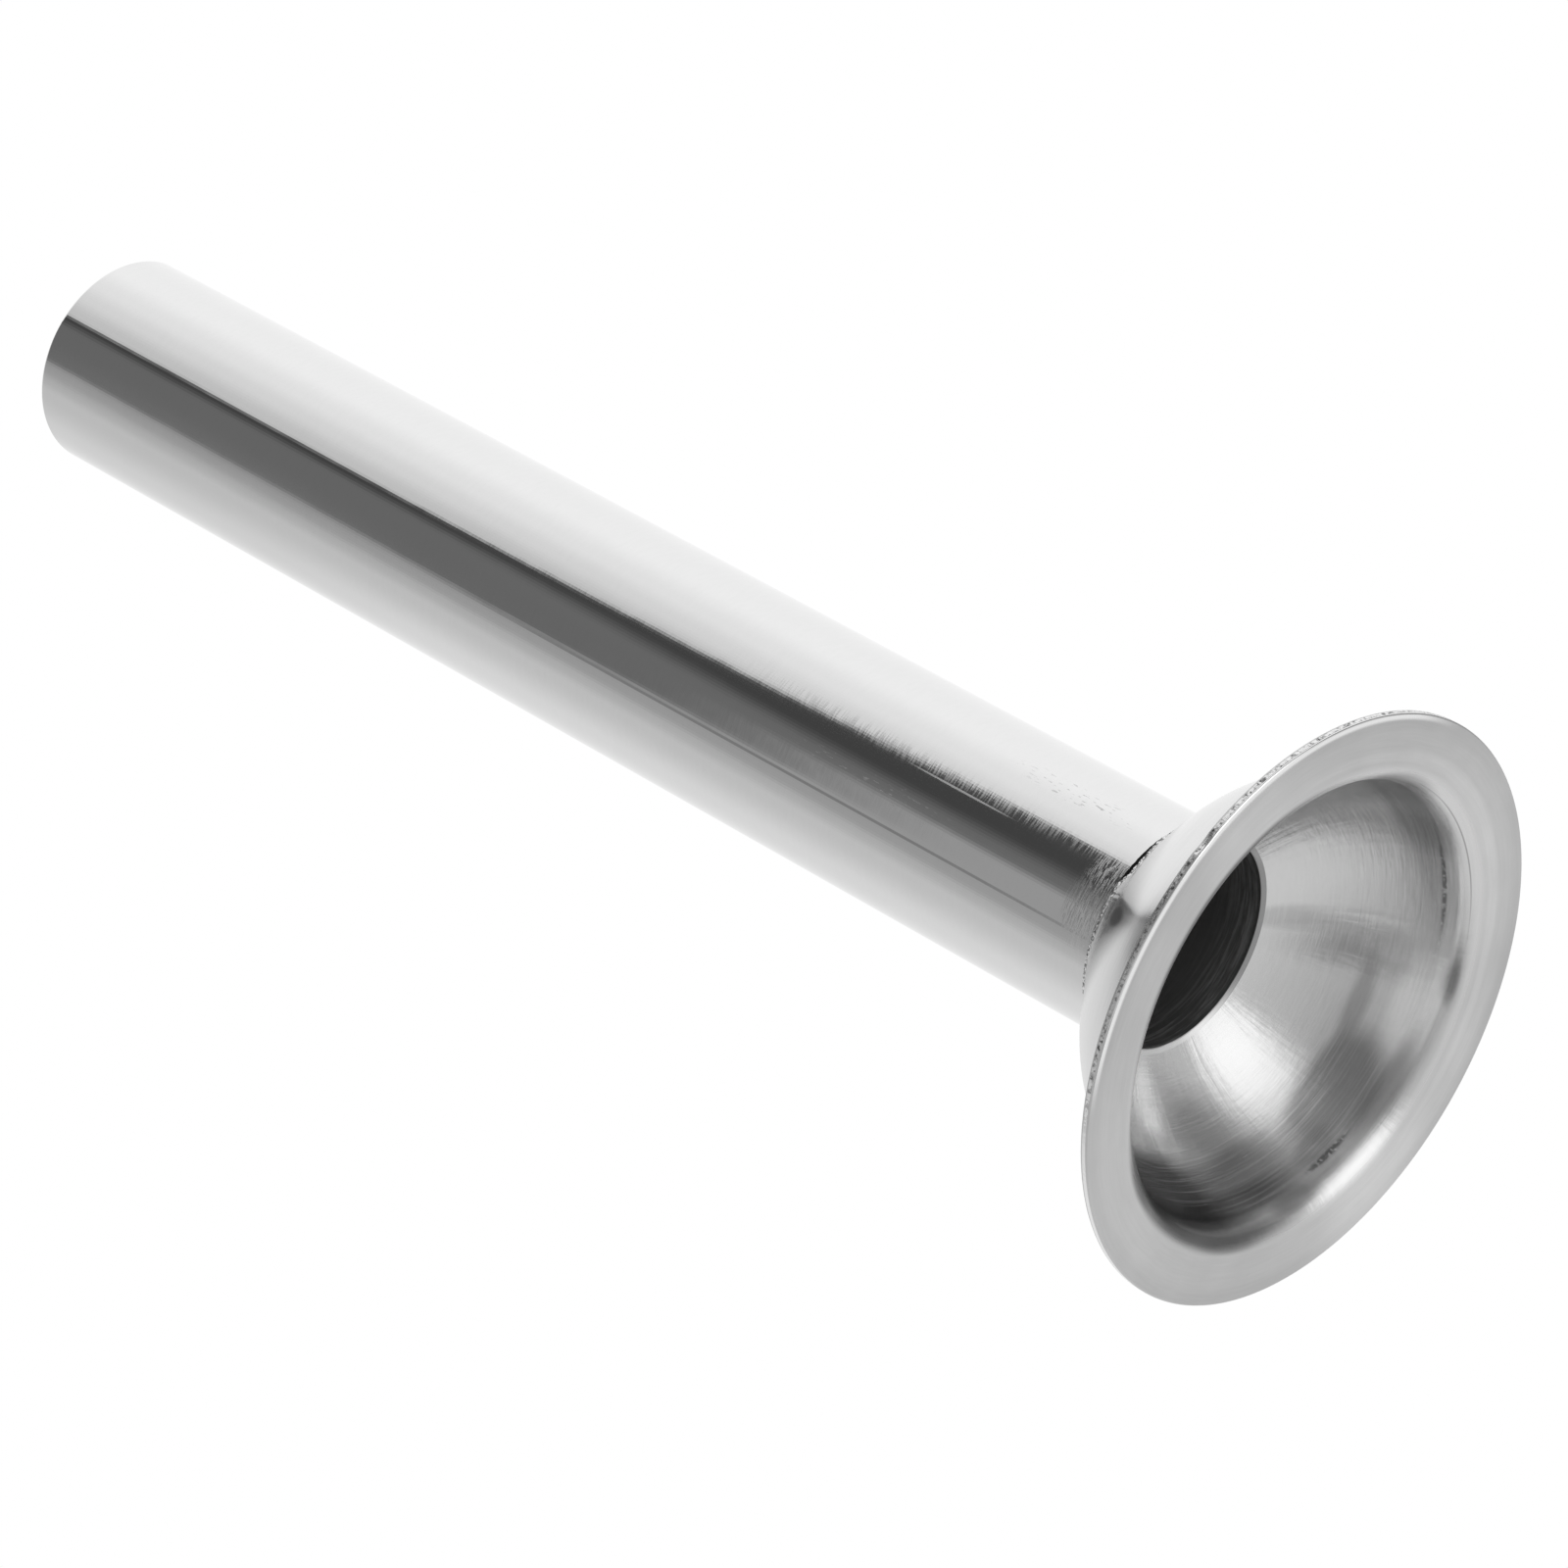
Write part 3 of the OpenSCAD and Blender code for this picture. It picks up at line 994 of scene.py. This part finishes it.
def studio_world():
    """World that is plain white to the camera and lights the metal with pale walls and dark cards."""
    world = bpy.data.worlds.new("studio")
    world.use_nodes = True
    tree = world.node_tree
    tree.nodes.clear()
    ray = add_node(tree, "ShaderNodeTexCoord").outputs["Generated"]
    split = add_node(tree, "ShaderNodeSeparateXYZ", {0: ray})
    front = times(tree, split.outputs["Y"], -1.0)
    azimuth = math_node(tree, "DEGREES", math_node(tree, "ARCTAN2", split.outputs["X"], front))
    elevation = math_node(tree, "DEGREES", math_node(tree, "ARCSINE", split.outputs["Z"]))
    drop = add_node(tree, "ShaderNodeMapRange", {
        "Value": elevation, "From Min": EDGE_TOP, "From Max": EDGE_BOTTOM}).outputs["Result"]
    drop = math_node(tree, "POWER", drop, EDGE_CURVE)
    edge = math_node(tree, "MULTIPLY_ADD", drop, EDGE_END - EDGE_START, EDGE_START)
    past_edge = math_node(tree, "SUBTRACT", azimuth, edge)
    bright = smooth_range(tree, past_edge, -EDGE_BLUR, EDGE_BLUR)
    strip = smooth_range(tree, past_edge, *STRIP_RISE)
    upper = smooth_range(tree, elevation, *DIM_RISE)
    light = blend_colours(tree, upper, ramp(tree, azimuth, BELOW), ramp(tree, azimuth, DIM_SIDE))
    for angle, height, half_angle, half_height, softness, squareness, level in CARDS:
        mask = place_group(tree, soft_patch_group(), {
            "Angle": azimuth, "Height": elevation, "Centre Angle": angle, "Centre Height": height,
            "Half Angle": half_angle, "Half Height": half_height, "Softness": softness,
            "Squareness": squareness}).outputs["Mask"]
        light = blend_colours(tree, mask, light, shade(WHITE, level))
    above = times(tree, upper, smooth_range(tree, elevation, *BRIGHT_RISE))
    light = blend_colours(tree, times(tree, strip, above), light, shade(WHITE, STRIP_LEVEL))
    bright_light = ramp(tree, azimuth, BRIGHT_SIDE)
    light = blend_colours(tree, times(tree, bright, above), light, bright_light)
    seen = add_node(tree, "ShaderNodeLightPath").outputs["Is Camera Ray"]
    backdrop = add_node(tree, "ShaderNodeBackground", {
        "Color": blend_colours(tree, seen, light, shade(WHITE, 1.0)), "Strength": 1.0})
    output = add_node(tree, "ShaderNodeOutputWorld")
    link(tree, backdrop.outputs[0], output.inputs["Surface"])
    return world


# Shares of the floor's radius between which it fades
FADE_START, FADE_END = 0.35, 0.95


def pale_floor(colour, radius):
    """Floor material that fades into the backdrop and lets the view from below through."""
    material = bpy.data.materials.new("pale_floor")
    material.use_nodes = True
    tree = material.node_tree
    tree.nodes.clear()
    place = add_node(tree, "ShaderNodeTexCoord").outputs["Object"]
    distance = add_node(tree, "ShaderNodeVectorMath", {0: place}, operation="LENGTH").outputs["Value"]
    far = smooth_range(tree, distance, radius * FADE_START, radius * FADE_END)
    below = add_node(tree, "ShaderNodeNewGeometry").outputs["Backfacing"]
    clear = math_node(tree, "MAXIMUM", far, below)
    paint = add_node(tree, "ShaderNodeBsdfDiffuse", {"Color": (*colour, 1.0)})
    gone = add_node(tree, "ShaderNodeBsdfTransparent")
    surface = add_node(tree, "ShaderNodeMixShader", {0: clear, 1: paint.outputs[0], 2: gone.outputs[0]})
    output = add_node(tree, "ShaderNodeOutputMaterial")
    link(tree, surface.outputs[0], output.inputs["Surface"])
    return material


# The camera's place and axes in the part's frame, and its lens on Blender's 36 mm sensor.
CAMERA_PLACE = Vector((0.0, -0.492950, -0.306658))
CAMERA_FORWARD = Vector((-0.00773, 0.80209, 0.59716))
CAMERA_UP = Vector((0.87634, -0.28220, 0.39038))
CAMERA_LENS = 156.841
SENSOR_WIDTH = 36
# How far the floor lies below the flange, and its sides
FLOOR_DROP = 0.2 * MM
FLOOR_SIDES = 96
# The lamp's spread, and its turn about X, Y and Z, in degrees
SUN_SPREAD = 25
SUN_TURN = (28, -24, 0)


class STUFFING_OT_stage(bpy.types.Operator):
    """Make the floor, the studio light and the camera"""

    bl_idname = "stuffing.stage"
    bl_label = "Studio"

    def execute(self, context):
        scene = context.scene
        stage = scene.stuffing_stage
        scene.world = studio_world()
        scene.view_settings.view_transform = "Standard"

        disc = bmesh.new()
        bmesh.ops.create_circle(disc, cap_ends=True, segments=FLOOR_SIDES, radius=stage.floor_radius)
        mesh = bpy.data.meshes.new("floor")
        disc.to_mesh(mesh)
        disc.free()
        mesh.materials.append(pale_floor(stage.floor_colour, stage.floor_radius))
        floor = bpy.data.objects.new("floor", mesh)
        floor.location.z = -FLOOR_DROP
        scene.collection.objects.link(floor)
        for ray in ("diffuse", "glossy", "transmission", "shadow"):
            setattr(floor, "visible_" + ray, False)

        lamp = bpy.data.lights.new("soft_sun", "SUN")
        lamp.energy = stage.sun_strength
        lamp.angle = math.radians(SUN_SPREAD)
        sun = bpy.data.objects.new("soft_sun", lamp)
        sun.rotation_euler = [math.radians(degrees) for degrees in SUN_TURN]
        sun.visible_glossy = False
        scene.collection.objects.link(sun)

        forward = CAMERA_FORWARD.normalized()
        right = forward.cross(CAMERA_UP).normalized()
        up = right.cross(forward)
        view = bpy.data.cameras.new("camera")
        view.sensor_width = SENSOR_WIDTH
        view.lens = CAMERA_LENS
        view.clip_start = 0.01
        camera = bpy.data.objects.new("camera", view)
        axes = Matrix((right, up, -forward)).transposed().to_4x4()
        camera.matrix_world = Matrix.Translation(CAMERA_PLACE) @ axes
        scene.collection.objects.link(camera)
        scene.camera = camera
        return {"FINISHED"}


class STUFFING_PT_panel(bpy.types.Panel):
    """Sizes, colours and pieces of the stuffing tube"""

    bl_idname = "STUFFING_PT_panel"
    bl_label = "Stuffing Tube"
    bl_space_type = "VIEW_3D"
    bl_region_type = "UI"
    bl_category = "Stuffing Tube"

    def draw(self, context):
        scene = context.scene
        for operator, settings in PIECES:
            box = self.layout.box()
            box.operator(operator.bl_idname)
            for key in settings.__annotations__:
                box.prop(getattr(scene, operator.bl_idname.replace(".", "_")), key)


PIECES = (
    (STUFFING_OT_tube, TubeSettings),
    (STUFFING_OT_cup, CupSettings),
    (STUFFING_OT_weld, WeldSettings),
    (STUFFING_OT_stage, StageSettings),
)


def register():
    """Registers the settings, the operators and the panel."""
    for operator, settings in PIECES:
        bpy.utils.register_class(settings)
        bpy.utils.register_class(operator)
        setattr(bpy.types.Scene, operator.bl_idname.replace(".", "_"), PointerProperty(type=settings))
    bpy.utils.register_class(STUFFING_PT_panel)


def unregister():
    """Removes what register added."""
    bpy.utils.unregister_class(STUFFING_PT_panel)
    for operator, settings in reversed(PIECES):
        delattr(bpy.types.Scene, operator.bl_idname.replace(".", "_"))
        bpy.utils.unregister_class(operator)
        bpy.utils.unregister_class(settings)


def main():
    """Builds the pieces and the stage."""
    register()
    bpy.ops.stuffing.tube()
    bpy.ops.stuffing.cup()
    bpy.ops.stuffing.weld()
    bpy.ops.stuffing.stage()


if __name__ == "__main__":
    main()
